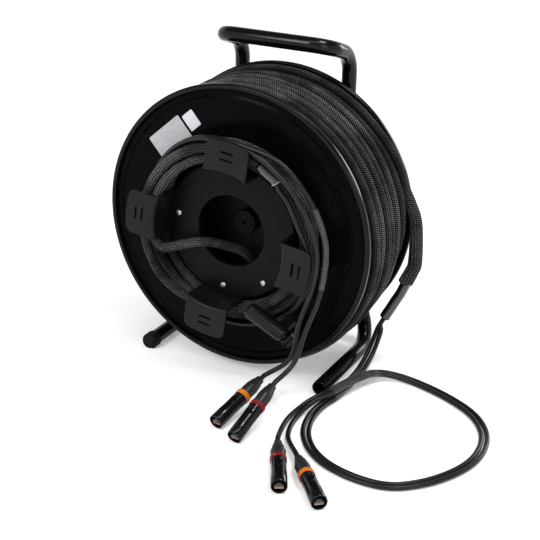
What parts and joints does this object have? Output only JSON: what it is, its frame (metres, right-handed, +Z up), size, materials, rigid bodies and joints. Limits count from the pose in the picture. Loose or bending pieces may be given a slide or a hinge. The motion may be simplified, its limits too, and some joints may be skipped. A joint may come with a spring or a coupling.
{
  "type": "network cable reel",
  "caption": "Portable drum of sleeved network cable on a bent-tube stand, with a folding crank, tail hooks and locking connectors on both cable ends.",
  "frame": {"origin": "on the floor, under the middle of the reel's box without its free cable ends", "axes": "+Z up, +Y along the axle towards the stand's posts, +X to the right when the hooks face the viewer"},
  "size_m": [0.5642, 0.4384, 0.4408],
  "materials": {
    "frame_paint": "gloss black powder coat",
    "drum_paint": "semi-gloss black paint",
    "hub_plastic": "matte black",
    "grip_plastic": "satin black",
    "zinc": "zinc plated",
    "axle_steel": "turned steel",
    "bronze": "sintered bronze",
    "rubber": "matte black",
    "braid": "black braided sleeve",
    "cable": "satin black jacket",
    "heat_shrink": "gloss black",
    "connector": "satin black",
    "orange_ring": "orange",
    "red_ring": "dark red",
    "insert": "clear plug body with metal contacts",
    "grey_label": "blank grey film",
    "white_label": "blank white film"
  },
  "bodies": {
    "stand": {"frame_tube": "frame_paint", "foot_cap_left": "rubber", "axle_plate": "frame_paint", "axle": "axle_steel", "axle_clip": "axle_steel", "axle_washer": "zinc", "axle_nut": "zinc", "brake_bush": "zinc", "out_sleeve": "braid", "out_heatshrink": "heat_shrink", "out_cable_red": "cable", "out_cable_orange": "cable", "out_red_boot": "hub_plastic", "out_red_ring": "red_ring", "out_red_shell": "connector", "out_red_insert": "insert", "out_orange_boot": "hub_plastic", "out_orange_ring": "orange_ring", "out_orange_shell": "connector", "out_orange_insert": "insert"},
    "drum": {"near_flange": "drum_paint", "far_flange": "drum_paint", "barrel": "drum_paint", "hub_plate": "drum_paint", "hub_cover": "hub_plastic", "bearing_cap": "hub_plastic", "cable_grommet": "rubber", "hook_right": "hub_plastic", "hook_top": "hub_plastic", "hook_left": "hub_plastic", "hook_bottom": "hub_plastic", "hub_screw_1": "zinc", "hub_screw_2": "zinc", "hub_screw_3": "zinc", "hub_screw_4": "zinc", "hub_screw_5": "zinc", "front_bush": "bronze", "rear_bush": "bronze", "label_grey": "grey_label", "label_white": "white_label", "crank_bracket": "zinc", "crank_pin": "zinc", "cable_core": "braid", "cable_layer": "braid", "tail_coil": "braid", "tail_heatshrink": "heat_shrink", "tail_cable_red": "cable", "tail_cable_orange": "cable", "tail_red_boot": "hub_plastic", "tail_red_ring": "red_ring", "tail_red_shell": "connector", "tail_red_insert": "insert", "tail_orange_boot": "hub_plastic", "tail_orange_ring": "orange_ring", "tail_orange_shell": "connector", "tail_orange_insert": "insert"},
    "crank_arm": {"crank_lug": "zinc"},
    "crank_handle": {"crank_grip": "grip_plastic"},
    "brake_wheel": {"brake_knob": "grip_plastic"},
    "brake_shoe": {"brake_pad": "rubber"}
  },
  "joints": [
    {"name": "drum_spin", "type": "hinge", "parent": "stand", "child": "drum", "pos_m": [0, 0.00037, 0.203], "axis": [0, 1, 0], "continuous": true},
    {"name": "crank_fold", "type": "hinge", "parent": "drum", "child": "crank_arm", "pos_m": [0.09601, -0.09483, 0.07941], "axis": [0.585, 0, 0.8111], "range_deg": [0, 76]},
    {"name": "grip_spin", "type": "hinge", "parent": "crank_arm", "child": "crank_handle", "pos_m": [0.0724, -0.10209, 0.09644], "axis": [-0.787, -0.2419, 0.5676], "continuous": true},
    {"name": "brake_turn", "type": "hinge", "parent": "stand", "child": "brake_wheel", "pos_m": [0.048, 0.11, 0.203], "axis": [0, 1, 0], "range_deg": [0, 350]},
    {"name": "brake_slide", "type": "slide", "parent": "stand", "child": "brake_shoe", "axis": [0, -1, 0], "range_m": [0, 0.0012]}
  ],
  "couplings": [
    {"joint": "brake_slide", "follows": "brake_turn", "m_per_rad": 0.000196}
  ]
}
